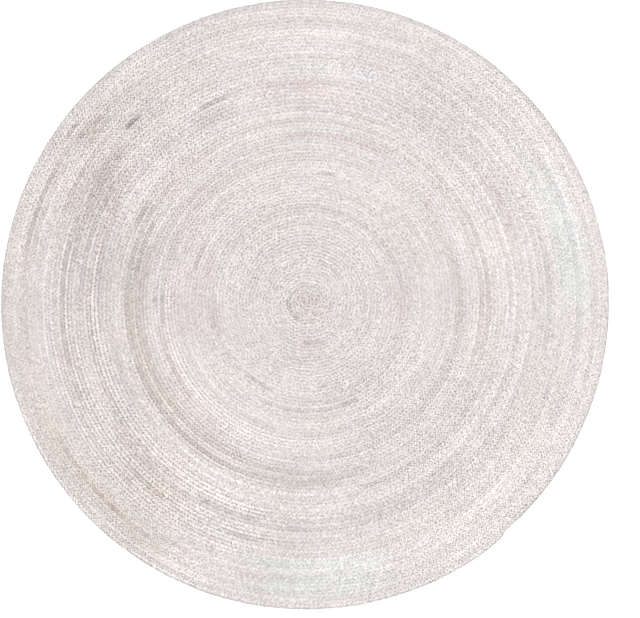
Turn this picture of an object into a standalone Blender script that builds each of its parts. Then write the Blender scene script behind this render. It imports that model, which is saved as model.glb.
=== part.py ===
"""Round jute rug: one flat three-strand braid, wound on edge-to-edge into a flat coil and sewn to itself.

The rug is one piece and so one solid. It lies flat: its underside is one flat face at z = 0, and each turn
of the braid stands up as a rib with a groove on either side. The braid starts at the coil's centre, widens
and narrows a little from turn to turn, and its end is drawn in to nothing against the turn before it.

Metres, +Z up. The origin is the middle of the rug's outline, on the floor.
"""

import math

import bmesh
import bpy

# Driving dimensions
RUG_RADIUS = 1.22  # an eight-foot round, to the mean of its last turn's outer edge
COIL_TURNS = 86
BRAID_THICKNESS = 0.009
GROOVE_DEPTH = 0.0035

# The coil grows outwards anticlockwise, seen from above
END_ANGLE = math.radians(315)
END_LENGTH = 0.18  # the last stretch of braid, narrowed until it meets the turn before it

# The inner turns lie a little off the rug's middle, and the outer ones drift back to it
COIL_CENTRE = (0.0106, 0.0086)
RIM_CENTRE = (0.00355, 0.00355)
STEADY_TURNS = 28

# Width of the braid along the coil, before it is fitted to the radius
BRAID_WIDTHS = (
    {"turn": 0, "width": 0.01360},
    {"turn": 26, "width": 0.01365},
    {"turn": 40, "width": 0.01380},
    {"turn": 51, "width": 0.01415},
    {"turn": 54, "width": 0.01475},
    {"turn": 59, "width": 0.01560},
    {"turn": 68, "width": 0.01515},
    {"turn": 79, "width": 0.01430},
    {"turn": 87, "width": 0.01420},
)

# Points in one turn, twice as many where the turns have grown and twice again for a round outline
TURN_POINTS = (
    {"from_turn": 0, "points": 16},
    {"from_turn": 10, "points": 32},
    {"from_turn": 82, "points": 64},
)

# Where the outer wall's points lie on the braid's oval section, from level with its middle
RIM_ANGLES = tuple(math.radians(degrees) for degrees in (48, 5, -40))
UNDERSIDE_INSET = 0.0042

JUTE_COLOUR = (0.760, 0.708, 0.690, 1.0)  # bleached, a pale warm grey
JUTE_ROUGHNESS = 0.92


def clear_scene():
    for obj in list(bpy.data.objects):
        bpy.data.objects.remove(obj, do_unlink=True)


def table_radius(turn):
    """The widths of the braid added up from the centre to this turn, before they are fitted."""
    radius = 0.0
    for inner, outer in zip(BRAID_WIDTHS, BRAID_WIDTHS[1:]):
        if turn <= inner["turn"]:
            break
        share = min(1.0, (turn - inner["turn"]) / (outer["turn"] - inner["turn"]))
        width = inner["width"] + (outer["width"] - inner["width"]) * share
        radius += (inner["width"] + width) / 2 * share * (outer["turn"] - inner["turn"])
    return radius


WIDTH_FIT = RUG_RADIUS / table_radius(COIL_TURNS)
END_TURNS = END_LENGTH / (2 * math.pi * RUG_RADIUS)


def tuck(turn):
    """0 along the coil, rising smoothly to 1 where the braid's end meets the turn before it."""
    share = max(0.0, (turn - (COIL_TURNS - END_TURNS)) / END_TURNS)
    return share * share * (3 - 2 * share)


def straddle(turn):
    """How far a turn's points stand out, as a factor, for its straight sides to lie as much outside as inside."""
    points = [zone["points"] for zone in TURN_POINTS if zone["from_turn"] <= turn][-1]
    return 1 + (1 - math.cos(math.pi / points)) / 2


def coil_point(turn, across, inset=0.0):
    """x and y on a turn: across is 0 on the braid's middle line and 0.5 on its outer edge."""
    place = turn + across - tuck(turn) * (0.5 + across)
    radius = table_radius(place) * WIDTH_FIT * straddle(turn) - inset
    angle = END_ANGLE + 2 * math.pi * (turn - COIL_TURNS)
    drift = max(0.0, place - STEADY_TURNS) / (COIL_TURNS - STEADY_TURNS)
    centre = [inner + (rim - inner) * drift for inner, rim in zip(COIL_CENTRE, RIM_CENTRE)]
    return centre[0] + radius * math.cos(angle), centre[1] + radius * math.sin(angle)


def turns_between(first, last):
    """The places along the coil that get a point, from first up to but not including last."""
    places = []
    for zone, after in zip(TURN_POINTS, TURN_POINTS[1:] + ({"from_turn": COIL_TURNS},)):
        for step in range((after["from_turn"] - zone["from_turn"]) * zone["points"]):
            turn = zone["from_turn"] + step / zone["points"]
            if first <= turn < last:
                places.append(turn)
    return places


def line(bm, turns, across, height, inset=0.0):
    """A line of points along the coil, each with the turn that it lies on."""
    made = []
    for turn in turns:
        x, y = coil_point(turn, across, inset)
        made.append((turn, bm.verts.new((x, y, height))))
    return made


def crease(bm, points):
    """Marks the edges along a line as sharp, so that the ribs on either side shade round."""
    for near, far in zip(points, points[1:]):
        bm.edges.get((near[1], far[1])).smooth = False


def join_lines(bm, inner, outer, lead=0):
    """Fills the band between two lines; the outer one is lead turns further along at the same angle."""
    i = j = 0
    while i + 1 < len(inner) or j + 1 < len(outer):
        inner_next = inner[i + 1][0] if i + 1 < len(inner) else math.inf
        outer_next = outer[j + 1][0] - lead if j + 1 < len(outer) else math.inf
        if inner_next <= outer_next:
            bm.faces.new((inner[i][1], outer[j][1], inner[i + 1][1]))
            i += 1
        else:
            bm.faces.new((inner[i][1], outer[j][1], outer[j + 1][1]))
            j += 1


def rim_lines(bm):
    """The closed lines of the outer wall, from its shoulder down to the flat underside."""
    turns = turns_between(COIL_TURNS - 1, COIL_TURNS)
    half_width = (table_radius(COIL_TURNS) - table_radius(COIL_TURNS - 1)) * WIDTH_FIT / 2
    profile = [
        (half_width * (1 - math.cos(angle)), BRAID_THICKNESS / 2 * (1 + math.sin(angle)))
        for angle in RIM_ANGLES
    ]
    profile.append((UNDERSIDE_INSET, 0.0))
    lines = []
    for inset, height in profile:
        made = line(bm, turns, 0.5, height, inset)
        made.append((COIL_TURNS, made[0][1]))
        lines.append(made)
    return lines


def braided_rug():
    """The whole coil as one closed solid."""
    bm = bmesh.new()
    crest = line(bm, turns_between(0, COIL_TURNS), 0.0, BRAID_THICKNESS)
    groove = line(bm, turns_between(0, COIL_TURNS - 1), 0.5, BRAID_THICKNESS - GROOVE_DEPTH)
    rim = rim_lines(bm)
    groove.append((COIL_TURNS - 1, rim[0][0][1]))

    # The braid's start: the first turn closes round the coil's centre
    first_turn = [vertex for turn, vertex in crest if turn <= 1]
    start = first_turn[0]
    for near, far in zip(first_turn[1:], first_turn[2:]):
        bm.faces.new((start, near, far))
    bm.faces.new((start, first_turn[-1], groove[0][1]))

    inside_last = [point for point in crest if point[0] <= COIL_TURNS - 1]
    last_turn = [point for point in crest if point[0] >= COIL_TURNS - 1]
    after_first = [point for point in crest if point[0] >= 1]
    join_lines(bm, inside_last, groove)
    join_lines(bm, groove, after_first, lead=1)
    join_lines(bm, last_turn, rim[0])
    for upper, lower in zip(rim, rim[1:]):
        join_lines(bm, upper, lower)
    bm.faces.new([vertex for turn, vertex in reversed(rim[-1][:-1])])
    crease(bm, groove)
    crease(bm, rim[-1])
    for face in bm.faces:
        face.smooth = True

    mesh = bpy.data.meshes.new("braided_rug")
    bm.to_mesh(mesh)
    bm.free()
    rug = bpy.data.objects.new("braided_rug", mesh)
    bpy.context.scene.collection.objects.link(rug)
    return rug


def bleached_jute():
    material = bpy.data.materials.new("bleached_jute")
    material.use_nodes = True
    shader = material.node_tree.nodes["Principled BSDF"]
    shader.inputs["Base Color"].default_value = JUTE_COLOUR
    shader.inputs["Roughness"].default_value = JUTE_ROUGHNESS
    shader.inputs["Metallic"].default_value = 0.0
    return material


clear_scene()
braided_rug().data.materials.append(bleached_jute())
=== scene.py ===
"""Looks of a round jute rug: one flat three-strand braid, coiled from the centre and sewn edge to edge.

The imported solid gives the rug's size and place. Here the real braid is laid over it. Each place where a
strand comes up and crosses the braid is one raised stitch, and Geometry Nodes set some fifty thousand of
them along the coil, on a closed core with the rug's own outline.

Metres, +Z up. The top of the picture is +Y, and the rug's middle is the origin.
"""

import math

import bpy
import numpy as np
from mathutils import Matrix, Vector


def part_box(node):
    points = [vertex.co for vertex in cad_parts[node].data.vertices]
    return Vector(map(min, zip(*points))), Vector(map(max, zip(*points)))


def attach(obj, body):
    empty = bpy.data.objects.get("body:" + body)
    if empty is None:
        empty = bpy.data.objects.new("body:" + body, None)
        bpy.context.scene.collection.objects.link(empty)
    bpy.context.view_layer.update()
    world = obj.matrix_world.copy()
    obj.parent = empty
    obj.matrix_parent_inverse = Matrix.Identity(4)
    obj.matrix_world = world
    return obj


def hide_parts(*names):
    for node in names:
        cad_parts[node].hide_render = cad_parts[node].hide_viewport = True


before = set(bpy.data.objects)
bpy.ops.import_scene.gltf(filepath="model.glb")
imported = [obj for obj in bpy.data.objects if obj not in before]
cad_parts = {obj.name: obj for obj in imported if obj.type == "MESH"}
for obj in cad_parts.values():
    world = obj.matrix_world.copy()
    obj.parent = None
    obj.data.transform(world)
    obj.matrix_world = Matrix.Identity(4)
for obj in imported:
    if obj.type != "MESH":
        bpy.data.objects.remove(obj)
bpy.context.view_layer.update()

RUG = "braided_rug"
BRAID_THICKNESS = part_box(RUG)[1][2]

# The coil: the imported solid's own rule
RUG_RADIUS = 1.22  # to the mean of the last turn's outer edge
COIL_TURNS = 86
END_ANGLE = math.radians(315)  # it grows outwards anticlockwise, and every whole turn lies at this angle
END_LENGTH = 0.18  # the last stretch of braid, narrowed until it meets the turn before it
COIL_CENTRE = (0.0106, 0.0086)
RIM_CENTRE = (0.00355, 0.00355)
STEADY_TURNS = 28  # they lie round the coil's centre, and the later ones drift to the rim's
BRAID_WIDTHS = (
    {"turn": 0, "width": 0.01360},
    {"turn": 26, "width": 0.01365},
    {"turn": 40, "width": 0.01380},
    {"turn": 51, "width": 0.01415},
    {"turn": 54, "width": 0.01475},
    {"turn": 59, "width": 0.01560},
    {"turn": 68, "width": 0.01515},
    {"turn": 79, "width": 0.01430},
    {"turn": 87, "width": 0.01420},
)

# The braid: one stitch on each side of its middle line for every stitch length
STRANDS = 3
STITCH = 0.0132
PITCH_RUNS = ((0.12, 0.22, 81), (0.16, 0.05, 82))  # how it varies: share, metres of braid, seed
WANDER = 0.0009  # how far the middle line strays from the coil's rule
WANDER_PATCH = (0.11, 71)  # over what size of patch, and the seed
LINE_POINTS = 192  # points of the coil's middle line in one turn
HEADING_STEP = 0.002  # turns ahead of a stitch at which the braid's heading there is read
FIRST_TURN = 0.3
LAST_WIDTH = 0.25  # the braid's end is cut where it has narrowed to this share
BAND_ENDS = (62, 86)  # each strand is two pieces, an inner and an outer stretch of the coil

# One stitch, for a braid of mean width, before it is made uneven
MEAN_WIDTH = 0.0142
STITCH_LENGTH = 0.0190
STITCH_WIDTH = 0.0134
STITCH_HEIGHT = 0.0053
STITCH_SLANT = math.radians(36)
STITCH_TILT = math.radians(18)  # towards the nearer edge of the braid, which is domed across
STITCH_STATIONS = (
    {"along": 0.14, "half_width": 0.80, "height": 0.66},
    {"along": 0.50, "half_width": 1.00, "height": 1.00},
    {"along": 0.86, "half_width": 0.86, "height": 0.60},
)

# How the rug is sewn at a radius. The inner turns are drawn tighter, and the widest turns are the loosest:
# how light the jute is, how full and how uneven the stitches are, how much painted shade darkens them down
# their flanks and between two rows, and how high the core stands between two rows
SEWING = tuple(
    dict(zip(("radius", "light", "fullness", "unrest", "flank", "groove", "valley"), row))
    for row in (
        (0.10, 0.935, 0.66, 1.80, 0.04, 0.00, 0.0033),
        (0.40, 0.955, 0.66, 1.80, 0.04, 0.00, 0.0034),
        (0.52, 0.966, 0.72, 1.70, 0.08, 0.02, 0.0034),
        (0.62, 0.946, 0.90, 1.50, 0.17, 0.06, 0.0029),
        (0.95, 0.954, 0.96, 1.70, 0.22, 0.06, 0.0026),
        (1.08, 0.971, 0.88, 1.60, 0.21, 0.00, 0.0031),
    )
)
THIN_LIFT = 0.0032  # how far a stitch is raised for what it lacks in fullness, so that its crest stays up

# How single stitches differ from the mean one: the least, the most and the seed
UNEVEN = {
    "reach": (-0.045, 0.045, 1),
    "slip": (-0.0019, 0.0019, 2),
    "level": (-0.0004, 0.0004, 3),
    "slant": (-0.14, 0.14, 4),
    "roll": (-0.07, 0.07, 5),
    "dive": (-0.05, 0.05, 6),
    "length": (-0.0016, 0.0016, 7),
    "width": (-0.0013, 0.0013, 8),
    "height": (-0.0005, 0.0004, 9),
    "shade": (-0.035, 0.035, 10),
    "second shade": (-0.02, 0.02, 11),
}
SEED_STEP = 20  # between the seeds of two pieces
FIRST_SEED = 100

# Where the line between two rows gets extra painted shade, as if the rows were drawn apart there: the
# columns are a streak's
SEAMS = (
    {"radius": 0.630, "width": 0.220, "start": 168, "end": 262, "strength": 0.68},
    {"radius": 0.925, "width": 0.230, "start": 172, "end": 262, "strength": 0.68},
    {"radius": 0.690, "width": 0.280, "start": -14, "end": 44, "strength": 0.26},
    {"radius": 0.270, "width": 0.180, "start": 20, "end": 75, "strength": 0.26},
)

# How the stitches lie as a strand goes round the braid: how far over they are turned (1 is upside down), how
# far out from the middle line as a share of the braid's width, how far ahead and how high, how steeply they
# dive, how long and broad they are as shares of a whole stitch, and the height that nothing of them is below
UPPER_SIDE = {
    "Turned Over": 0.0, "Reach": 0.205, "Ahead": 0.0, "Level": 0.0029, "Dive": 0.0,
    "Length": 1.0, "Breadth": 1.0, "Foot": 0.0012, "Unevenness": 1.0,
}
OUTER_EDGE = {
    "Turned Over": 0.5, "Reach": 0.200, "Ahead": 0.0076, "Level": 0.0042, "Dive": math.radians(45),
    "Length": 0.56, "Breadth": 0.54, "Foot": 0.0007, "Unevenness": 0.6,
}
UNDERSIDE = {
    "Turned Over": 1.0, "Reach": 0.180, "Ahead": 0.0022, "Level": 0.0030, "Dive": 0.0,
    "Length": 1.0, "Breadth": 1.0, "Foot": 0.0002, "Unevenness": 0.6,
}

# The closed core inside the braid, ribbed along it on both faces, and its rim from the underside up
CORE_POINTS = 80  # in one turn
CORE_FACES = (
    {"facing": 1, "crest": 0.0052},
    {"facing": -1, "crest": 0.0000},
)
UNDER_VALLEY = 0.0012  # how far up the underside's grooves go; those of the upper side are in SEWING
CORE_INSET = 0.0044
CORE_RIM = (
    {"inset": CORE_INSET, "height": 0.0002},
    {"inset": 0.0032, "height": 0.0006},
    {"inset": 0.0026, "height": 0.0012},
    {"inset": 0.0032, "height": 0.0018},
    {"inset": CORE_INSET, "height": 0.0024},
)

# Tones of the jute, as reflected light; a streak multiplies the fibre's own tone
JUTE = (0.811, 0.762, 0.747)
CORE_SHADE = 0.93  # painted shade: the core's lightness as a share of the fibre's, as it lies in shade between the stitches
TONES = {
    "brown": (0.80, 0.74, 0.71),
    "dark": (0.60, 0.59, 0.59),
    "mauve": (0.91, 0.82, 0.84),
    "straw": (0.90, 0.87, 0.79),
    "pale": (1.12, 1.14, 1.15),
    "sage": (1.01, 1.08, 1.075),
    "cool": (1.03, 1.06, 1.11),
}

# How the jute's tone drifts: the amount, the run along the braid or the size of a patch in metres, and the
# seed. The three strands share the first runs. Each has its own of the second ones and of the rosy one,
# with the strand's number added to the seed.
SHARED_RUNS = ((0.064, 1.4, 11), (0.074, 0.5, 12))
STRAND_RUNS = ((0.044, 0.40, 20), (0.044, 0.12, 30))
PATCHES = ((0.042, 0.30, 61), (0.031, 0.13, 62))
WARM_RUN = (0.010, 1.8, 41)
WARM_PATCH = (0.010, 0.20, 63)
WARM_TINT = (0.4, 0.0, -1.0)
ROSY_RUN = (0.009, 0.7, 50)
ROSY_PATCH = (0.009, 0.10, 64)
ROSY_TINT = (0.6, -0.6, 0.0)
ROW_LIMIT = 0.072  # a whole row gets no lighter or darker than this of its own accord
SIDE_LIGHT = 0.008  # how much lighter the rug is at its right edge than in its middle

# Streaks and stained stretches: radius of the middle row and width of the rows together in metres, angles
# in degrees from +X. Each follows the braid, and the rows of a wide one start and end unevenly. They were
# set one by one, and some of them were then trimmed until the mean tone of their rows was about the
# photograph's.
STREAKS = (
    # Inner turns
    {"radius": 0.000, "width": 0.145, "start": 0, "end": 360, "tone": "brown", "strength": 0.36},
    {"radius": 0.030, "width": 0.014, "start": 5, "end": 95, "tone": "dark", "strength": 0.30},
    {"radius": 0.072, "width": 0.014, "start": 0, "end": 360, "tone": "brown", "strength": 0.22},
    {"radius": 0.100, "width": 0.014, "start": 0, "end": 360, "tone": "pale", "strength": 0.30},
    {"radius": 0.110, "width": 0.014, "start": 320, "end": 365, "tone": "dark", "strength": 0.35},
    {"radius": 0.153, "width": 0.014, "start": 262, "end": 292, "tone": "mauve", "strength": 0.90},
    {"radius": 0.180, "width": 0.014, "start": 36, "end": 72, "tone": "dark", "strength": 0.35},
    {"radius": 0.200, "width": 0.115, "start": 250, "end": 290, "tone": "mauve", "strength": 0.21},
    {"radius": 0.235, "width": 0.030, "start": 248, "end": 270, "tone": "mauve", "strength": 0.60},
    {"radius": 0.273, "width": 0.014, "start": 122, "end": 142, "tone": "dark", "strength": 0.35},
    {"radius": 0.363, "width": 0.014, "start": 230, "end": 250, "tone": "dark", "strength": 0.45},
    {"radius": 0.362, "width": 0.060, "start": 178, "end": 202, "tone": "mauve", "strength": 0.47},
    {"radius": 0.382, "width": 0.120, "start": -14, "end": 11, "tone": "mauve", "strength": 0.39},
    {"radius": 0.397, "width": 0.028, "start": 28, "end": 50, "tone": "mauve", "strength": 0.32},
    {"radius": 0.412, "width": 0.028, "start": 153, "end": 187, "tone": "mauve", "strength": 0.65},
    {"radius": 0.426, "width": 0.014, "start": 243, "end": 300, "tone": "dark", "strength": 0.45},
    {"radius": 0.470, "width": 0.014, "start": 145, "end": 167, "tone": "dark", "strength": 0.60},
    {"radius": 0.512, "width": 0.130, "start": 146, "end": 196, "tone": "mauve", "strength": 0.36},
    {"radius": 0.538, "width": 0.014, "start": 77, "end": 87, "tone": "dark", "strength": 0.55},
    {"radius": 0.578, "width": 0.014, "start": 174, "end": 192, "tone": "dark", "strength": 0.60},
    {"radius": 0.590, "width": 0.044, "start": 186, "end": 216, "tone": "brown", "strength": 0.42},
    # Two wide and faint stains
    {"radius": 0.850, "width": 0.180, "start": 0, "end": 360, "tone": "brown", "strength": 0.06},
    {"radius": 0.930, "width": 0.560, "start": 152, "end": 250, "tone": "brown", "strength": 0.17},
    # The brown zone
    {"radius": 0.605, "width": 0.014, "start": 170, "end": 184, "tone": "dark", "strength": 0.60},
    {"radius": 0.600, "width": 0.058, "start": 205, "end": 246, "tone": "mauve", "strength": 0.38},
    {"radius": 0.620, "width": 0.044, "start": -14, "end": 24, "tone": "brown", "strength": 0.46},
    {"radius": 0.632, "width": 0.058, "start": 127, "end": 146, "tone": "mauve", "strength": 0.38},
    {"radius": 0.640, "width": 0.044, "start": 34, "end": 44, "tone": "mauve", "strength": 0.46},
    {"radius": 0.667, "width": 0.014, "start": 15, "end": 62, "tone": "pale", "strength": 0.65},
    {"radius": 0.680, "width": 0.100, "start": 150, "end": 290, "tone": "brown", "strength": 0.25},
    {"radius": 0.688, "width": 0.014, "start": 60, "end": 100, "tone": "mauve", "strength": 0.95},
    {"radius": 0.697, "width": 0.030, "start": 117, "end": 150, "tone": "straw", "strength": 0.61},
    {"radius": 0.690, "width": 0.030, "start": 172, "end": 224, "tone": "straw", "strength": 0.61},
    {"radius": 0.695, "width": 0.014, "start": 148, "end": 174, "tone": "dark", "strength": 0.42},
    {"radius": 0.706, "width": 0.058, "start": 196, "end": 240, "tone": "brown", "strength": 0.14},
    {"radius": 0.714, "width": 0.058, "start": -16, "end": 10, "tone": "mauve", "strength": 0.53},
    {"radius": 0.730, "width": 0.044, "start": 117, "end": 162, "tone": "brown", "strength": 0.46},
    {"radius": 0.742, "width": 0.044, "start": 14, "end": 42, "tone": "mauve", "strength": 0.32},
    {"radius": 0.744, "width": 0.014, "start": 146, "end": 159, "tone": "dark", "strength": 0.55},
    {"radius": 0.757, "width": 0.028, "start": -8, "end": 15, "tone": "brown", "strength": 0.38},
    {"radius": 0.757, "width": 0.014, "start": 228, "end": 288, "tone": "pale", "strength": 0.65},
    # Between the brown zone and the rim
    {"radius": 0.783, "width": 0.014, "start": -5, "end": 70, "tone": "pale", "strength": 0.60},
    {"radius": 0.814, "width": 0.014, "start": -8, "end": 64, "tone": "pale", "strength": 0.40},
    {"radius": 0.843, "width": 0.014, "start": -5, "end": 68, "tone": "pale", "strength": 0.50},
    {"radius": 0.845, "width": 0.044, "start": 108, "end": 123, "tone": "dark", "strength": 0.30},
    {"radius": 0.853, "width": 0.030, "start": 147, "end": 174, "tone": "brown", "strength": 0.50},
    {"radius": 0.876, "width": 0.028, "start": 168, "end": 238, "tone": "brown", "strength": 0.34},
    {"radius": 0.884, "width": 0.014, "start": 205, "end": 236, "tone": "dark", "strength": 0.20},
    {"radius": 0.886, "width": 0.014, "start": 238, "end": 259, "tone": "dark", "strength": 0.60},
    {"radius": 0.884, "width": 0.058, "start": 82, "end": 103, "tone": "mauve", "strength": 0.69},
    {"radius": 0.890, "width": 0.016, "start": 110, "end": 120, "tone": "dark", "strength": 0.60},
    {"radius": 0.890, "width": 0.030, "start": 17, "end": 38, "tone": "mauve", "strength": 0.80},
    {"radius": 0.905, "width": 0.075, "start": 142, "end": 158, "tone": "brown", "strength": 0.52},
    {"radius": 0.940, "width": 0.044, "start": 68, "end": 102, "tone": "cool", "strength": 0.60},
    {"radius": 0.948, "width": 0.100, "start": 213, "end": 241, "tone": "brown", "strength": 0.34},
    {"radius": 0.944, "width": 0.090, "start": -5, "end": 26, "tone": "cool", "strength": 0.26},
    {"radius": 0.966, "width": 0.030, "start": 138, "end": 154, "tone": "dark", "strength": 0.50},
    {"radius": 0.971, "width": 0.014, "start": 156, "end": 208, "tone": "dark", "strength": 0.55},
    {"radius": 0.968, "width": 0.030, "start": 220, "end": 237, "tone": "brown", "strength": 0.50},
    {"radius": 0.966, "width": 0.016, "start": 249, "end": 258, "tone": "brown", "strength": 0.60},
    {"radius": 0.990, "width": 0.110, "start": 138, "end": 162, "tone": "brown", "strength": 0.47},
    {"radius": 1.004, "width": 0.014, "start": 130, "end": 137, "tone": "dark", "strength": 0.95},
    {"radius": 1.020, "width": 0.014, "start": 243, "end": 288, "tone": "pale", "strength": 0.60},
    # The outer turns
    {"radius": 1.050, "width": 0.060, "start": 170, "end": 210, "tone": "cool", "strength": 0.52},
    {"radius": 1.086, "width": 0.120, "start": -4, "end": 31, "tone": "sage", "strength": 0.73},
    {"radius": 1.096, "width": 0.150, "start": 257, "end": 290, "tone": "sage", "strength": 0.65},
    {"radius": 1.096, "width": 0.080, "start": 136, "end": 146, "tone": "brown", "strength": 0.60},
    {"radius": 1.074, "width": 0.180, "start": 108, "end": 163, "tone": "brown", "strength": 0.14},
    {"radius": 1.100, "width": 0.060, "start": 238, "end": 258, "tone": "cool", "strength": 0.39},
    {"radius": 1.104, "width": 0.044, "start": 220, "end": 229, "tone": "mauve", "strength": 0.60},
    {"radius": 1.130, "width": 0.014, "start": 204, "end": 240, "tone": "dark", "strength": 0.40},
    {"radius": 1.130, "width": 0.030, "start": 130, "end": 200, "tone": "dark", "strength": 0.28},
    {"radius": 1.136, "width": 0.016, "start": 149, "end": 172, "tone": "dark", "strength": 0.42},
    {"radius": 1.140, "width": 0.130, "start": 198, "end": 242, "tone": "straw", "strength": 0.26},
    {"radius": 1.170, "width": 0.014, "start": 233, "end": 262, "tone": "pale", "strength": 0.70},
    {"radius": 1.172, "width": 0.014, "start": 140, "end": 147, "tone": "dark", "strength": 0.90},
    # One darker turn beside the braid's start
    {"radius": 0.058, "width": 0.014, "start": 158, "end": 240, "tone": "dark", "strength": 0.40},
)
STREAK_SEED = 200
SEAM_SEED = 400
RAGGED = 0.28  # how unevenly the rows of a wide streak start, end and take up its tone
FADE = 4.5  # degrees over which a streak comes and goes, or a quarter of its length where that is less
STRAND_SHARES = (0.65, 1.25)  # how much of a streak one strand takes up, from least to most
STITCH_SHARES = (0.5, 1.5)  # and one stitch


def table_radius(turn):
    """The braid's widths added up from the centre to this turn, before they are fitted to the radius."""
    turns = np.array([row["turn"] for row in BRAID_WIDTHS], float)
    widths = np.array([row["width"] for row in BRAID_WIDTHS])
    sums = np.concatenate([[0], np.cumsum((widths[1:] + widths[:-1]) / 2 * np.diff(turns))])
    turn = np.maximum(turn, 0.0)
    row = np.clip(np.searchsorted(turns, turn, side="right") - 1, 0, len(turns) - 2)
    past = turn - turns[row]
    growth = (widths[row + 1] - widths[row]) / (turns[row + 1] - turns[row])
    return sums[row] + widths[row] * past + growth * past**2 / 2


WIDTH_FIT = RUG_RADIUS / float(table_radius(COIL_TURNS))
END_TURNS = END_LENGTH / (2 * math.pi * RUG_RADIUS)


def tuck(turn):
    """0 along the coil, rising smoothly to 1 where the braid's end meets the turn before it."""
    share = np.maximum(0.0, (turn - (COIL_TURNS - END_TURNS)) / END_TURNS)
    return share * share * (3 - 2 * share)


def coil_angle(turn):
    """The angle from +X at this turn."""
    return END_ANGLE + 2 * math.pi * (turn - COIL_TURNS)


def coil_point(turn, across, inset=0.0):
    """x and y on a turn: across is 0 on the braid's middle line and 0.5 on its outer edge."""
    place = turn + across - tuck(turn) * (0.5 + across)
    radius = table_radius(place) * WIDTH_FIT - inset
    angle = coil_angle(turn)
    drift = np.maximum(0.0, place - STEADY_TURNS) / (COIL_TURNS - STEADY_TURNS)
    centre = [inner + (rim - inner) * drift for inner, rim in zip(COIL_CENTRE, RIM_CENTRE)]
    return centre[0] + radius * np.cos(angle), centre[1] + radius * np.sin(angle)


def braid_width(turn):
    """The braid's own width at this turn, narrowed at its end."""
    full = (table_radius(turn + 0.5) - table_radius(turn - 0.5)) * WIDTH_FIT
    return full * (1 - tuck(turn))


# ---------------------------------------------------------------- node trees


class Wire:
    """A socket in a node tree. Sums and products of wires and numbers add the Math nodes for them."""

    def __init__(self, tree, socket):
        self.tree = tree
        self.socket = socket

    def math(self, operation, *values):
        made = self.tree.add("ShaderNodeMath", {"operation": operation}, dict(enumerate(values)))
        return made.out(0)

    def __add__(self, other):
        return self.math("ADD", self, other)

    def __radd__(self, other):
        return self.math("ADD", other, self)

    def __sub__(self, other):
        return self.math("SUBTRACT", self, other)

    def __rsub__(self, other):
        return self.math("SUBTRACT", other, self)

    def __mul__(self, other):
        return self.math("MULTIPLY", self, other)

    def __rmul__(self, other):
        return self.math("MULTIPLY", other, self)

    def __truediv__(self, other):
        return self.math("DIVIDE", self, other)

    def __rtruediv__(self, other):
        return self.math("DIVIDE", other, self)


class Node:
    """A node that was added, whose outputs are wires."""

    def __init__(self, tree, node):
        self.tree = tree
        self.node = node

    def out(self, name):
        return Wire(self.tree, open_socket(self.node.outputs, name))


def open_socket(sockets, name):
    """The socket in use with this name, or the one at this place in the list."""
    if isinstance(name, int):
        return sockets[name]
    return next(s for s in sockets if s.name == name and s.enabled)


class Tree:
    """Adds nodes to a material's or a modifier's tree."""

    def __init__(self, tree):
        self.tree = tree

    def add(self, kind, settings=None, values=None):
        """A node of this type: its settings come first, then the values or wires of its sockets."""
        node = self.tree.nodes.new(kind)
        for name, value in (settings or {}).items():
            setattr(node, name, value)
        for name, value in (values or {}).items():
            socket = open_socket(node.inputs, name)
            if isinstance(value, Wire):
                self.tree.links.new(value.socket, socket)
            else:
                socket.default_value = value
        return Node(self, node)


def add_inputs(tree, inputs):
    """Names a modifier tree's inputs and returns their wires and the identifiers that set them."""
    interface = tree.tree.interface
    interface.new_socket("Geometry", in_out="OUTPUT", socket_type="NodeSocketGeometry")
    for name, kind in inputs.items():
        interface.new_socket(name, in_out="INPUT", socket_type="NodeSocket" + kind)
    entry = tree.tree.nodes.new("NodeGroupInput")
    wires = {name: Wire(tree, entry.outputs[name]) for name in inputs}
    identifiers = {name: entry.outputs[name].identifier for name in inputs}
    return wires, identifiers


# ---------------------------------------------------------------- materials


def new_material(name):
    """An empty node material and its tree."""
    material = bpy.data.materials.new(name)
    material.use_nodes = True
    material.node_tree.nodes.clear()
    return material, Tree(material.node_tree)


def finish_material(tree, values):
    """Adds the shader with these values or wires, and the material's output."""
    shader = tree.add("ShaderNodeBsdfPrincipled", {}, values)
    tree.add("ShaderNodeOutputMaterial", {}, {"Surface": shader.out("BSDF")})


def scaled(tree, colour, factor):
    """A colour made lighter or darker."""
    made = tree.add("ShaderNodeVectorMath", {"operation": "SCALE"}, {"Vector": colour, "Scale": factor})
    return made.out("Vector")


def attribute(tree, name, output="Fac"):
    """What the mesh carries under this name, as a number or as a vector."""
    return tree.add("ShaderNodeAttribute", {"attribute_name": name}).out(output)


def relief(tree, height, strength, distance):
    """A surface bumped by this height."""
    made = tree.add("ShaderNodeBump", {}, {"Strength": strength, "Distance": distance, "Height": height})
    return made.out("Normal")


# The pattern on one stitch, in lengths and half widths of it
FIBRE_STRETCH = (1.5, 5.0)  # along and across, so that the fibres run along the stitch
FIBRE_NOISE = {"Scale": 2.6, "Detail": 4.0, "Roughness": 0.7}
BLOTCH_NOISE = {"Scale": 3.0, "Detail": 2.0}
FIBRE_JUMP, BLOTCH_JUMP, YARN_JUMP = 97.0, 61.0, 40.0  # from stitch to stitch, by its shade
YARNS_ACROSS = 17.0
YARN_TWIST = 5.0
YARN_WANDER = (9.0, 3.0)  # with the blotches and with the fibres


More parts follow.
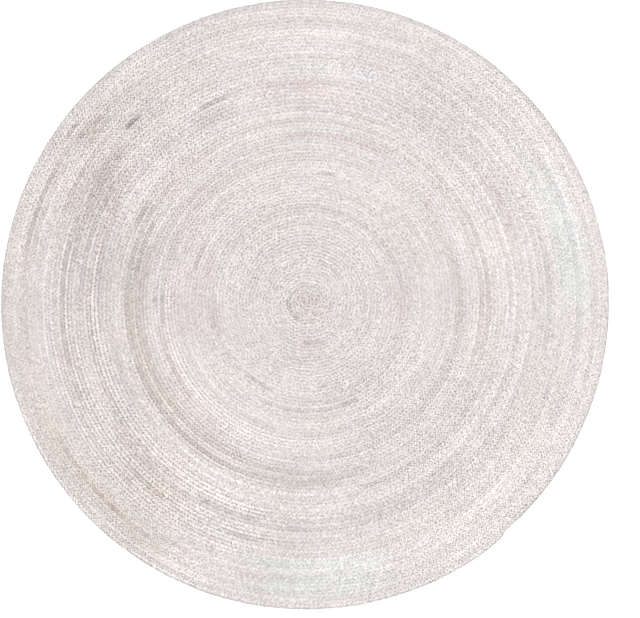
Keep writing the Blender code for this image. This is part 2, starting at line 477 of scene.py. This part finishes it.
def jute_stitch():
    """Bleached jute: yarns and fibres that run along each stitch, with painted shade down its sides, between
    its yarns and towards its end in the groove between rows.
    """
    material, tree = new_material("jute_stitch")
    tone = attribute(tree, "tone", "Vector")
    shade = attribute(tree, "shade")
    painted_flank_shade = attribute(tree, "flank")
    groove = attribute(tree, "groove")
    parts = tree.add("ShaderNodeSeparateXYZ", {}, {"Vector": attribute(tree, "stitch_place", "Vector")})
    along = parts.out("X")
    side = parts.out("Y")
    crest = parts.out("Z")

    def noise(stretch, jump, values):
        """A noise over the stitch, drawn out by this much along and across and different on every stitch."""
        place = {"X": along * stretch[0], "Y": side * stretch[1], "Z": shade * jump}
        spot = tree.add("ShaderNodeCombineXYZ", {}, place).out("Vector")
        made = tree.add("ShaderNodeTexNoise", {"noise_dimensions": "3D"}, {"Vector": spot, **values})
        return made.out("Fac")

    fibres = noise(FIBRE_STRETCH, FIBRE_JUMP, FIBRE_NOISE)
    blotches = noise((1.0, 1.0), BLOTCH_JUMP, BLOTCH_NOISE)
    twist = side * YARNS_ACROSS + along * YARN_TWIST
    twist = twist + blotches * YARN_WANDER[0] + fibres * YARN_WANDER[1] + shade * YARN_JUMP
    yarns = twist.math("SINE", twist) * 0.5 + 0.5
    gaps = yarns * yarns * yarns
    flank = crest.math("SMOOTH_MIN", crest * 1.5, 1.0, 0.3)

    # Lightness: painted shade down the flanks, in the gaps between yarns and towards the groove, a little
    # painted light where the stitch starts, and the fibres' own lightness from fibre to fibre
    down_flank = 1.04 - painted_flank_shade * (1.0 - flank)
    in_gaps = 1.0 - gaps * (1.05 * fibres - 0.03)
    by_fibre = 0.16 + 0.90 * fibres + 0.94 * blotches
    to_groove = 1.0 + groove * (0.17 - along * along * along)
    colour = scaled(tree, tone, shade * down_flank * in_gaps * by_fibre * to_groove)
    finish_material(
        tree,
        {
            "Base Color": colour,
            "Roughness": 0.80 + 0.2 * fibres,
            "Specular IOR Level": 0.25,
            "Sheen Weight": 0.12,
            "Sheen Roughness": 0.6,
            "Normal": relief(tree, fibres * 0.7 - gaps * 0.5, 0.8, 0.0007),
        },
    )
    return material


CORE_SLANT = 1.5  # stitches that the plait runs ahead by, per braid width off the middle line
CORE_STAGGER = 0.25  # and the two sides lie apart by twice this


def jute_core():
    """The jute between the stitches, painted darker as shade, and the braid's flatter underside with its
    stitches, with painted shade between their lumps and towards the grooves.
    """
    material, tree = new_material("jute_core")
    parts = tree.add("ShaderNodeSeparateXYZ", {}, {"Vector": attribute(tree, "braid_place", "Vector")})
    number = parts.out("X")
    across = parts.out("Y")
    off_middle = across.math("ABSOLUTE", across)
    side = across.math("SIGN", across)
    turn = (number + off_middle * CORE_SLANT + side * CORE_STAGGER) * (2 * math.pi)
    lump = turn.math("SINE", turn) * 0.5 + 0.5
    floor_place = tree.add("ShaderNodeTexCoord").out("Object")
    fibres = tree.add(
        "ShaderNodeTexNoise", {}, {"Vector": floor_place, "Scale": 420.0, "Detail": 3.0}
    ).out("Fac")
    groove = off_middle * off_middle * 4.0
    # Painted shade: the core as a whole, the hollows between its lumps and its sides towards the grooves
    # between rows are darker; the fibres differ at random
    light = CORE_SHADE * (0.78 + 0.22 * lump) * (1.0 - 0.08 * groove) * (0.8 + 0.4 * fibres)
    finish_material(
        tree,
        {
            "Base Color": scaled(tree, attribute(tree, "tone", "Vector"), light),
            "Roughness": 0.86 + 0.12 * fibres,
            "Normal": relief(tree, lump * 0.8 - groove * 0.6 + fibres * 0.35, 0.7, 0.0016),
        },
    )
    return material


# ---------------------------------------------------------------- the rug


def new_object(name, data):
    """An object in the scene with this mesh, light or camera."""
    made = bpy.data.objects.new(name, data)
    bpy.context.scene.collection.objects.link(made)
    return made


def stitch_mesh():
    """One raised stitch, centred along X and closed underneath: its length, width and height are 1."""
    tips = [(-0.5, 0.0, 0.0), (0.5, 0.0, 0.0)]
    near, far, crest = [], [], []
    for row in STITCH_STATIONS:
        near.append((row["along"] - 0.5, -0.5 * row["half_width"], 0.0))
        far.append((row["along"] - 0.5, 0.5 * row["half_width"], 0.0))
        crest.append((row["along"] - 0.5, 0.0, row["height"]))
    corners = tips + near + far + crest
    start, end, near0, far0, crest0 = 0, 1, 2, 5, 8
    faces = [
        (start, near0, crest0),
        (start, crest0, far0),
        (end, crest0 + 2, near0 + 2),
        (end, far0 + 2, crest0 + 2),
    ]
    for step in range(2):
        faces.append((near0 + step, near0 + step + 1, crest0 + step + 1, crest0 + step))
        faces.append((crest0 + step, crest0 + step + 1, far0 + step + 1, far0 + step))
    underside = (start, far0, far0 + 1, far0 + 2, end, near0 + 2, near0 + 1, near0)
    faces.append(underside)

    mesh = bpy.data.meshes.new("stitch")
    mesh.from_pydata(corners, [], faces)
    mesh.polygons.foreach_set("use_smooth", [True] * len(mesh.polygons))
    place = mesh.attributes.new("stitch_place", "FLOAT_VECTOR", "POINT")
    for index, (x, y, z) in enumerate(corners):
        place.data[index].vector = (x + 0.5, 2 * y, z)
    cell = mesh.attributes.new("cell_place", "FLOAT2", "CORNER")
    for face in mesh.polygons:
        for corner in face.loop_indices:
            x, y, z = corners[mesh.loops[corner].vertex_index]
            # The top fills most of its cell on the baking map, and the hidden underside a strip below it
            low, high = (0.03, 0.11) if len(face.vertices) > 4 else (0.17, 0.97)
            cell.data[corner].vector = (0.04 + 0.92 * (x + 0.5), low + (high - low) * (y + 0.5))
    return mesh


def braid_tree():
    """The tree that sets a stitch at every point of a mesh, on the side of the braid the point names."""
    group = bpy.data.node_groups.new("stitches_of_the_braid", "GeometryNodeTree")
    tree = Tree(group)
    wires, identifiers = add_inputs(
        tree,
        {
            "Geometry": "Geometry",
            "Stitch": "Object",
            "Turned Over": "Float",
            "Reach": "Float",
            "Ahead": "Float",
            "Level": "Float",
            "Dive": "Float",
            "Length": "Float",
            "Breadth": "Float",
            "Foot": "Float",
            "Cells": "Int",
            "Seed": "Int",
            "Unevenness": "Float",
            "Material": "Material",
        },
    )

    def uneven(name):
        """A number for each stitch, within the table's limits and scaled by the unevenness."""
        low, high, seed = UNEVEN[name]
        made = tree.add(
            "FunctionNodeRandomValue",
            {"data_type": "FLOAT"},
            {"Min": low, "Max": high, "ID": number, "Seed": wires["Seed"] + seed},
        )
        return made.out("Value") * wires["Unevenness"] * unrest

    def carried(name, kind="FLOAT"):
        """An attribute of the points or of the stitch."""
        made = tree.add("GeometryNodeInputNamedAttribute", {"data_type": kind}, {"Name": name})
        return made.out("Attribute")

    def stored(geometry, name, kind, domain, value):
        """The geometry with an attribute added to it."""
        return tree.add(
            "GeometryNodeStoreNamedAttribute",
            {"data_type": kind, "domain": domain},
            {"Geometry": geometry, "Name": name, "Value": value},
        ).out("Geometry")

    def vector(x, y, z):
        return tree.add("ShaderNodeCombineXYZ", {}, {"X": x, "Y": y, "Z": z}).out("Vector")

    def rotation_of(x, y, z):
        return tree.add("FunctionNodeEulerToRotation", {}, {"Euler": vector(x, y, z)}).out("Rotation")

    number = tree.add("GeometryNodeInputIndex").out("Index")
    side = carried("side")
    width = carried("width")
    heading = carried("heading")
    fullness = carried("fullness")
    unrest = carried("unrest")

    # Out from the middle line to its side, and a little along the braid
    reach = side * width * (wires["Reach"] + uneven("reach"))
    slip = wires["Ahead"] + uneven("slip")
    ahead_x = heading.math("COSINE", heading)
    ahead_y = heading.math("SINE", heading)
    shift = vector(
        ahead_y * reach + ahead_x * slip,
        ahead_y * slip - ahead_x * reach,
        wires["Level"] + uneven("level") + (1.0 - fullness) * THIN_LIFT,
    )

    # A turned-over stitch shows the braid's underside: it slants and tilts the other way
    over = 1.0 - wires["Turned Over"] * 2.0
    slant = over * side * (STITCH_SLANT + uneven("slant")) * -1.0
    roll = uneven("roll") + wires["Turned Over"] * math.pi
    dive = wires["Dive"] + uneven("dive")
    rotation = tree.add(
        "FunctionNodeRotateRotation",
        {"rotation_space": "GLOBAL"},
        {
            "Rotation": rotation_of(roll, dive, slant),
            "Rotate By": rotation_of(over * side * STITCH_TILT, 0.0, heading),
        },
    ).out("Rotation")
    growth = width / MEAN_WIDTH
    broader = growth.math("POWER", growth, 0.5)
    size = vector(
        growth * wires["Length"] * (STITCH_LENGTH + uneven("length")),
        broader * wires["Breadth"] * (STITCH_WIDTH + uneven("width")),
        fullness * (STITCH_HEIGHT + uneven("height")),
    )

    # Its cell on the baking map, which has as many rows as columns
    row = number / wires["Cells"]
    row = row.math("FLOOR", row)
    cell = vector(number.math("MODULO", number, wires["Cells"]), row, 0.0)
    points = stored(wires["Geometry"], "cell", "FLOAT_VECTOR", "POINT", cell)
    shade = 1.0 + uneven("shade") + uneven("second shade")
    points = stored(points, "shade", "FLOAT", "POINT", shade)
    points = tree.add("GeometryNodeSetPosition", {}, {"Geometry": points, "Offset": shift}).out("Geometry")
    stitch = tree.add("GeometryNodeObjectInfo", {}, {"Object": wires["Stitch"]}).out("Geometry")
    laid = tree.add(
        "GeometryNodeInstanceOnPoints",
        {},
        {"Points": points, "Instance": stitch, "Rotation": rotation, "Scale": size},
    ).out("Instances")
    solid = tree.add("GeometryNodeRealizeInstances", {}, {"Geometry": laid}).out("Geometry")

    # The feet of the stitches are pressed flat
    corner = tree.add(
        "ShaderNodeSeparateXYZ", {}, {"Vector": tree.add("GeometryNodeInputPosition").out("Position")}
    )
    height = corner.out("Z").math("MAXIMUM", corner.out("Z"), wires["Foot"])
    solid = tree.add(
        "GeometryNodeSetPosition",
        {},
        {"Geometry": solid, "Position": vector(corner.out("X"), corner.out("Y"), height)},
    ).out("Geometry")

    spot = tree.add(
        "ShaderNodeVectorMath",
        {"operation": "ADD"},
        {0: carried("cell", "FLOAT_VECTOR"), 1: carried("cell_place", "FLOAT_VECTOR")},
    ).out("Vector")
    baking = tree.add(
        "ShaderNodeVectorMath", {"operation": "SCALE"}, {"Vector": spot, "Scale": 1.0 / wires["Cells"]}
    ).out("Vector")
    solid = stored(solid, "OFBake", "FLOAT2", "CORNER", baking)
    for name in ("cell", "cell_place", "side", "width", "heading", "fullness", "unrest"):
        solid = tree.add(
            "GeometryNodeRemoveAttribute", {}, {"Geometry": solid, "Name": name}
        ).out("Geometry")
    finished = tree.add(
        "GeometryNodeSetMaterial", {}, {"Geometry": solid, "Material": wires["Material"]}
    ).out("Geometry")
    tree.add("NodeGroupOutput", {}, {"Geometry": finished})
    return group, identifiers


def through_tree(source, group, identifiers, values, name):
    """Runs a mesh through a modifier tree and returns the result as a plain object."""
    modifier = source.modifiers.new("laid", "NODES")
    modifier.node_group = group
    for key, value in values.items():
        modifier[identifiers[key]] = value
    source.update_tag()
    bpy.context.view_layer.update()
    evaluated = source.evaluated_get(bpy.context.evaluated_depsgraph_get())
    mesh = bpy.data.meshes.new_from_object(evaluated)
    mesh.name = name
    source.modifiers.remove(modifier)
    return new_object(name, mesh)


def run_noise(length, run, seed):
    """A smooth random number, about 0 and mostly within 1, for places along the coil."""
    rng = np.random.default_rng(seed)
    knots = rng.normal(0.0, 0.6, int(length.max() / run) + 3)
    at = length / run
    low = np.floor(at).astype(int)
    part = at - low
    part = part * part * (3 - 2 * part)
    return knots[low] * (1 - part) + knots[low + 1] * part


def cloud(x, y, size, seed):
    """A smooth random number over the floor, in patches of this size."""
    rng = np.random.default_rng(seed)
    span = int(2 * (RUG_RADIUS + 0.1) / size) + 3
    knots = rng.normal(0.0, 0.6, (span, span))
    total = 0.0
    column = (x + RUG_RADIUS + 0.1) / size
    line = (y + RUG_RADIUS + 0.1) / size
    for step_x in (0, 1):
        for step_y in (0, 1):
            low_x = np.floor(column).astype(int)
            low_y = np.floor(line).astype(int)
            near_x = 1 - np.abs(column - low_x - step_x)
            near_y = 1 - np.abs(line - low_y - step_y)
            weight = near_x * near_x * (3 - 2 * near_x) * near_y * near_y * (3 - 2 * near_y)
            total = total + knots[low_x + step_x, low_y + step_y] * weight
    return total


def streak_share(row, turns, strand, seed):
    """How far a streak colours each place along the coil: 0 outside it, and about its strength inside."""
    rng = np.random.default_rng(seed)
    middle = (row["start"] + row["end"]) / 2
    half = (row["end"] - row["start"]) / 2
    nearby = np.arange(COIL_TURNS) + ((middle - math.degrees(END_ANGLE)) / 360) % 1
    home = nearby[np.argmin(np.abs(np.hypot(*coil_point(nearby, 0.0)) - row["radius"]))]
    away = np.round(turns - home).astype(int)
    off_middle = (turns - home - away) * 360
    reach = row["width"] / MEAN_WIDTH / 2
    rows = 2 * int(reach) + 3
    uneven = RAGGED if reach > 1 else 0.0
    ends = half * (1 + uneven * rng.uniform(-1.0, 0.6, rows))
    shift = half * uneven * rng.uniform(-0.6, 0.6, rows)
    power = 1 + uneven * rng.uniform(-2.0, 1.2, rows)
    strands = rng.uniform(*STRAND_SHARES, STRANDS)
    lane = np.clip(away + rows // 2, 0, rows - 1)
    if half >= 180:
        run = 1.0
    else:
        soft = np.minimum(ends / 2, FADE)
        run = np.clip((ends[lane] - np.abs(off_middle - shift[lane])) / soft[lane], 0, 1)
    band = np.clip(reach + 0.5 - np.abs(away), 0, 1)
    broken = rng.uniform(*STITCH_SHARES, len(turns))
    return np.clip(row["strength"] * power[lane] * strands[strand], 0, 1.2) * run * band * broken


def sewn(name, x, y):
    """How the rug is sewn at places on it, from the table's column of this name."""
    return np.interp(np.hypot(x, y), [row["radius"] for row in SEWING], [row[name] for row in SEWING])


def seam_shade(x, y, turns, strand):
    """How much painted shade darkens the line between two rows, at places along the coil."""
    depth = sewn("groove", x, y)
    for index, row in enumerate(SEAMS):
        depth = depth + streak_share(row, turns, strand, SEAM_SEED + index)
    return depth


def jute_tone(x, y, turns, length, strand):
    """The jute's tone at places along the coil, for one strand of the braid. The inner turns are calmer."""

    def run(amount, size, seed):
        return amount * run_noise(length, size, seed)

    def patch(amount, size, seed):
        return amount * cloud(x, y, size, seed)

    stir = np.clip(0.45 + 0.75 * np.hypot(x, y), 0.5, 1.0)
    shared = sum(run(*row) for row in SHARED_RUNS)
    shared = ROW_LIMIT * np.tanh(shared / ROW_LIMIT)
    own = sum(run(amount, size, seed + strand) for amount, size, seed in STRAND_RUNS)
    patches = sum(patch(*row) for row in PATCHES)
    warm = run(*WARM_RUN) + patch(*WARM_PATCH)
    amount, size, seed = ROSY_RUN
    rosy = run(amount, size, seed + strand) + patch(*ROSY_PATCH)
    light = sewn("light", x, y) + stir * (shared + own + patches) + SIDE_LIGHT * x / RUG_RADIUS
    tone = np.array(JUTE)[None] * light[:, None]
    tone = tone * (1 + (stir * warm)[:, None] * np.array(WARM_TINT)[None])
    tone = tone * (1 + (stir * rosy)[:, None] * np.array(ROSY_TINT)[None])
    for index, row in enumerate(STREAKS):
        share = streak_share(row, turns, strand, STREAK_SEED + index)
        tone = tone * (1 + share[:, None] * (np.array(TONES[row["tone"]]) - 1)[None])
    return np.clip(tone, 0.02, 0.97)


def braid_line(turns):
    """The braid's middle line, which wanders a little from the coil's true line."""
    x, y = coil_point(turns, 0.0)
    stretch = 1 + WANDER * cloud(x, y, *WANDER_PATCH) / np.hypot(x, y)
    return x * stretch, y * stretch


def stitch_turns():
    """The number of every stitch, and its place along the coil in turns and in metres of braid."""
    turns = np.arange(FIRST_TURN, COIL_TURNS, 1 / LINE_POINTS)
    turns = turns[tuck(turns) < 1 - LAST_WIDTH]
    x, y = braid_line(turns)
    steps = np.hypot(np.diff(x), np.diff(y))
    length = np.concatenate([[0.0], np.cumsum(steps)])
    longer, shorter = [amount * run_noise(length, run, seed) for amount, run, seed in PITCH_RUNS]
    pitch = STITCH / 2 * (1 + longer + shorter)
    counted = np.concatenate([[0.0], np.cumsum(steps / pitch[1:])])
    numbers = np.arange(int(counted[-1]) + 1)
    return numbers, np.interp(numbers, counted, turns), np.interp(numbers, counted, length)


def stitch_points(numbers, turns, length, strand):
    """A mesh of loose points, one for each stitch, with what the stitch needs to know of its place."""
    x, y = braid_line(turns)
    after_x, after_y = braid_line(turns + HEADING_STEP)
    mesh = bpy.data.meshes.new("stitch_points")
    mesh.from_pydata(np.stack([x, y, 0 * x], 1).tolist(), [], [])
    for name, values in (
        *((name, sewn(name, x, y)) for name in ("fullness", "unrest", "flank")),
        ("groove", seam_shade(x, y, turns, strand)),
        ("side", np.where(numbers % 2 == 1, 1.0, -1.0)),
        ("width", braid_width(turns)),
        ("heading", np.arctan2(after_y - y, after_x - x)),
    ):
        mesh.attributes.new(name, "FLOAT", "POINT").data.foreach_set("value", values)
    tone = jute_tone(x, y, turns, length, strand)
    mesh.attributes.new("tone", "FLOAT_VECTOR", "POINT").data.foreach_set("vector", tone.ravel())
    return new_object("stitch_points", mesh)


def braid_pieces(material):
    """Every strand's stitches, and those that turn round the rug's rim."""
    stitch = new_object("stitch", stitch_mesh())
    group, identifiers = braid_tree()
    numbers, turns, length = stitch_turns()
    made = []

    def laid(chosen, strand, name, lie):
        points = stitch_points(numbers[chosen], turns[chosen], length[chosen], strand)
        values = {
            "Stitch": stitch,
            "Cells": math.ceil(math.sqrt(len(points.data.vertices))),
            "Seed": FIRST_SEED + SEED_STEP * len(made),
            "Material": material,
        }
        made.append(through_tree(points, group, identifiers, values | lie, name))
        bpy.data.objects.remove(points, do_unlink=True)

    for strand in range(STRANDS):
        inner_end = 0
        for band, outer_end in enumerate(BAND_ENDS):
            chosen = (numbers % STRANDS == strand) & (turns >= inner_end) & (turns < outer_end)
            laid(chosen, strand, f"strand_{strand + 1}_coil_{band + 1}", UPPER_SIDE)
            inner_end = outer_end
    rim = (turns > COIL_TURNS - 1) & (numbers % 2 == 1)
    laid(rim, 0, "rim_edge", OUTER_EDGE)
    laid(rim, 0, "rim_underside", UNDERSIDE)
    bpy.data.objects.remove(stitch, do_unlink=True)
    return made


def braid_core(material):
    """The closed core: the coil's ribs and grooves on both faces, its outline, and a rounded rim."""
    whole = np.arange(COIL_TURNS * CORE_POINTS) / CORE_POINTS
    last = whole[-CORE_POINTS:]
    corners, turns_of, faces, places = [], [], [], []

    def line(turns, across, height, inset):
        """Adds points along the coil and returns their numbers."""
        x, y = coil_point(turns, across, inset)
        corners.append(np.stack([x, y, height + 0 * x], 1))
        first = len(turns_of)
        turns_of.extend(turns)
        return list(range(first, len(turns_of)))

    def face(facing, *corner_places):
        """Adds a face; each corner is its point, its place in turns and its place across the braid."""
        around = corner_places[::facing]
        faces.append([point for point, turn, across in around])
        places.extend((turn, across, facing) for point, turn, across in around)

    rim = [line(last, 0.5, row["height"], row["inset"]) for row in CORE_RIM]
    for lower, upper in zip(rim, rim[1:]):
        for step in range(CORE_POINTS):
            after = (step + 1) % CORE_POINTS
            here, there = last[step], last[step] + 1 / CORE_POINTS
            face(
                1, (lower[step], here, 0.5), (lower[after], there, 0.5),
                (upper[after], there, 0.5), (upper[step], here, 0.5),
            )

    for row, edge in zip(CORE_FACES, (rim[-1], rim[0])):
        facing = row["facing"]
        crest = line(whole, 0.0, row["crest"], CORE_INSET * tuck(whole)) + edge[:1]
        inside = whole[:-CORE_POINTS]
        valley = sewn("valley", *coil_point(inside, 0.5)) if facing > 0 else UNDER_VALLEY
        groove = line(inside, 0.5, valley, CORE_INSET * tuck(inside + 1)) + edge + edge[:1]
        for step, turn in enumerate(whole):
            after = turn + 1 / CORE_POINTS
            outer = [(groove[step], turn, 0.5), (groove[step + 1], after, 0.5)]
            if crest[step + 1] != groove[step + 1]:
                outer.append((crest[step + 1], after, 0.0))
            face(facing, (crest[step], turn, 0.0), *outer)
        for step, turn in enumerate(inside):
            after = turn + 1 / CORE_POINTS
            beyond = step + CORE_POINTS
            outer = [(crest[beyond], turn + 1, 0.0), (crest[beyond + 1], after + 1, 0.0)]
            if crest[beyond + 1] != groove[step + 1]:
                outer.append((groove[step + 1], after + 1, -0.5))
            face(facing, (groove[step], turn + 1, -0.5), *outer)

        # The braid's start: the first turn closes round the coil's centre
        start = (crest[0], 0.0, 0.0)
        for step in range(1, CORE_POINTS):
            face(facing, start, (crest[step], whole[step], 0.0), (crest[step + 1], whole[step + 1], 0.0))
        face(facing, start, (crest[CORE_POINTS], 1.0, 0.0), (groove[0], 0.0, 0.5))

    corners = np.concatenate(corners)
    turns_of = np.array(turns_of)
    mesh = bpy.data.meshes.new("braid_core")
    mesh.from_pydata(corners.tolist(), [], faces)
    mesh.polygons.foreach_set("use_smooth", [True] * len(mesh.polygons))
    numbers, turns, length = stitch_turns()
    tone = jute_tone(corners[:, 0], corners[:, 1], turns_of, np.interp(turns_of, turns, length), 0)
    mesh.attributes.new("tone", "FLOAT_VECTOR", "POINT").data.foreach_set("vector", tone.ravel())
    places = np.array(places)
    places[:, 0] = np.interp(places[:, 0], turns, numbers / 2)
    mesh.attributes.new("braid_place", "FLOAT_VECTOR", "CORNER").data.foreach_set("vector", places.ravel())
    mesh.materials.append(material)
    return new_object("braid_core", mesh)


# ---------------------------------------------------------------- studio

CAMERA_PLACE = (0.0602, -0.0181)  # above this point of the floor, straight down
VIEW_WIDTH = 2.570  # metres across the picture at the rug
LENS = 85.0
SENSOR = 36.0
FLOOR_HALF = 30.0
FLOOR_LEVEL = -0.0002
FLOOR_TONE = 0.93
SUN_STRENGTH = 0.60
SUN_SPREAD = math.radians(38)
SUN_TURN = (math.radians(-37), 0.0, math.radians(-5))
SKY_STRENGTH = 1.205


def studio():
    """A pale floor, soft daylight from the top of the picture, and a camera straight above."""
    floor_mesh = bpy.data.meshes.new("studio_floor")
    around = ((-1, -1), (1, -1), (1, 1), (-1, 1))
    corners = [(FLOOR_HALF * x, FLOOR_HALF * y, FLOOR_LEVEL) for x, y in around]
    floor_mesh.from_pydata(corners, [], [(0, 1, 2, 3)])
    material, tree = new_material("studio_floor")
    finish_material(tree, {"Base Color": (FLOOR_TONE, FLOOR_TONE, FLOOR_TONE, 1.0), "Roughness": 0.9})
    floor_mesh.materials.append(material)
    new_object("studio_floor", floor_mesh)

    sun = bpy.data.lights.new("key", "SUN")
    sun.energy = SUN_STRENGTH
    sun.angle = SUN_SPREAD
    key = new_object("key", sun)
    key.rotation_euler = SUN_TURN

    world = bpy.data.worlds.new("studio")
    world.use_nodes = True
    background = world.node_tree.nodes["Background"]
    background.inputs["Color"].default_value = (1.0, 1.0, 1.0, 1.0)
    background.inputs["Strength"].default_value = SKY_STRENGTH
    bpy.context.scene.world = world

    camera = bpy.data.cameras.new("camera")
    camera.lens = LENS
    camera.sensor_width = SENSOR
    camera.clip_end = 100.0
    seen = new_object("camera", camera)
    away = VIEW_WIDTH * LENS / SENSOR
    seen.location = (*CAMERA_PLACE, BRAID_THICKNESS + away)
    bpy.context.scene.camera = seen
    bpy.context.scene.view_settings.view_transform = "Standard"


def main():
    core = braid_core(jute_core())
    strands = braid_pieces(jute_stitch())
    for piece in (core, *strands):
        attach(piece, "root")
    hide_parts(RUG)
    studio()


main()
